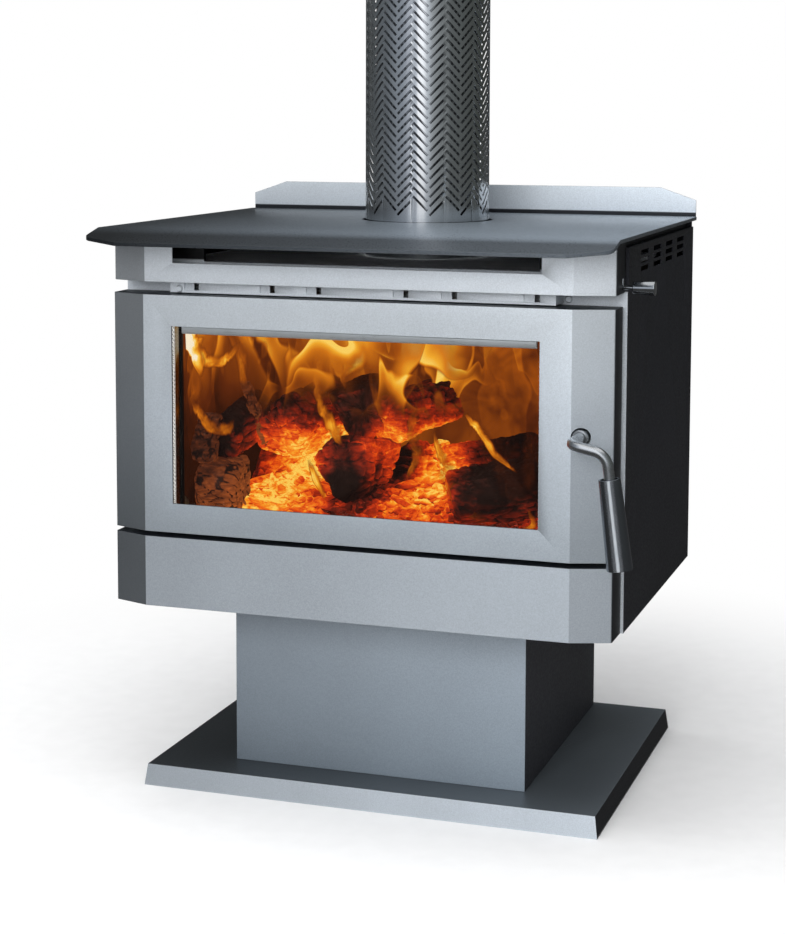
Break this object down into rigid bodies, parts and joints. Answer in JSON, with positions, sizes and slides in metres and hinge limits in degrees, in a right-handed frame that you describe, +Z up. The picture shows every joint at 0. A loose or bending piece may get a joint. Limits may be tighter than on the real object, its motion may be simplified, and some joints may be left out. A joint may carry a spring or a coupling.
{
  "type": "wood burning stove",
  "caption": "Free-standing wood burning stove on a pedestal and floor tray, with a hinged glass door, a latch handle that turns, a sliding air control and a shielded flue.",
  "frame": {"origin": "on the floor, straight below the centre of the flue, on the underside of the base's cross rail", "axes": "+Z up along the flue, +Y towards the back of the stove, +X towards the right-hand side of someone facing the door from the front"},
  "size_m": [0.7525, 0.6185, 1.215],
  "materials": {
    "silver_paint": "satin metallic stove paint, silver-grey",
    "charcoal_paint": "satin metallic stove paint, charcoal",
    "black_paint": "satin stove paint, near black",
    "bare_steel": "mill-finish steel, darkened by heat",
    "stainless": "bright stainless sheet",
    "polished_steel": "polished",
    "zinc": "zinc plated",
    "firebrick": "rough refractory",
    "rope": "braided glass-fibre rope",
    "door_glass": "clear ceramic stove glass with a faint smoky tint"
  },
  "bodies": {
    "stove": {"base_tray": "charcoal_paint", "base_rails": "black_paint", "base_cross_rail": "black_paint", "pedestal_front": "silver_paint", "pedestal_left": "black_paint", "pedestal_right": "black_paint", "pedestal_back": "black_paint", "pedestal_top_ring": "black_paint", "pedestal_bolts": "zinc", "underbody_panel": "black_paint", "support_rails": "bare_steel", "firebox_front": "silver_paint", "firebox_floor": "bare_steel", "firebox_left": "bare_steel", "firebox_right": "bare_steel", "firebox_back": "bare_steel", "firebox_roof": "bare_steel", "side_panel_left": "black_paint", "side_panel_right": "black_paint", "rear_panel": "black_paint", "top_rails": "black_paint", "panel_screws": "zinc", "top_plate": "charcoal_paint", "rear_upstand": "silver_paint", "top_fascia": "silver_paint", "lower_valance": "silver_paint", "flue_collar": "bare_steel", "flue_pipe": "stainless", "flue_casing": "stainless", "flue_spacers": "stainless", "floor_bricks": "firebrick", "left_bricks": "firebrick", "right_bricks": "firebrick", "rear_bricks": "firebrick", "baffle": "firebrick", "baffle_rails": "bare_steel", "log_guard": "bare_steel", "airwash_channel": "silver_paint", "airwash_deflector": "bare_steel", "front_studs": "silver_paint", "hinge_brackets": "bare_steel", "hinge_pins": "zinc", "latch_keeper": "bare_steel"},
    "door": {"door_panel": "silver_paint", "door_frame": "black_paint", "door_rope": "rope", "door_hinges": "bare_steel", "door_glass": "door_glass", "glass_rope": "rope", "glass_top_rail": "stainless", "glass_retainers": "bare_steel", "retainer_screws": "zinc", "handle_bush": "silver_paint"},
    "handle": {"handle_bar": "polished_steel", "handle_grip": "polished_steel", "latch_finger": "zinc"},
    "air_control": {"air_slide": "bare_steel", "air_rod": "polished_steel", "air_knob": "polished_steel"}
  },
  "joints": [
    {"name": "door_swing", "type": "hinge", "parent": "stove", "child": "door", "pos_m": [-0.347, -0.276, 0.5405], "axis": [0, 0, -1], "range_deg": [0, 110]},
    {"name": "handle_turn", "type": "hinge", "parent": "door", "child": "handle", "pos_m": [0.3095, -0.32, 0.5405], "axis": [0, -1, 0], "range_deg": [0, 90]},
    {"name": "air_slide_travel", "type": "slide", "parent": "stove", "child": "air_control", "axis": [1, 0, 0], "range_m": [-0.011, 0.0085]}
  ]
}
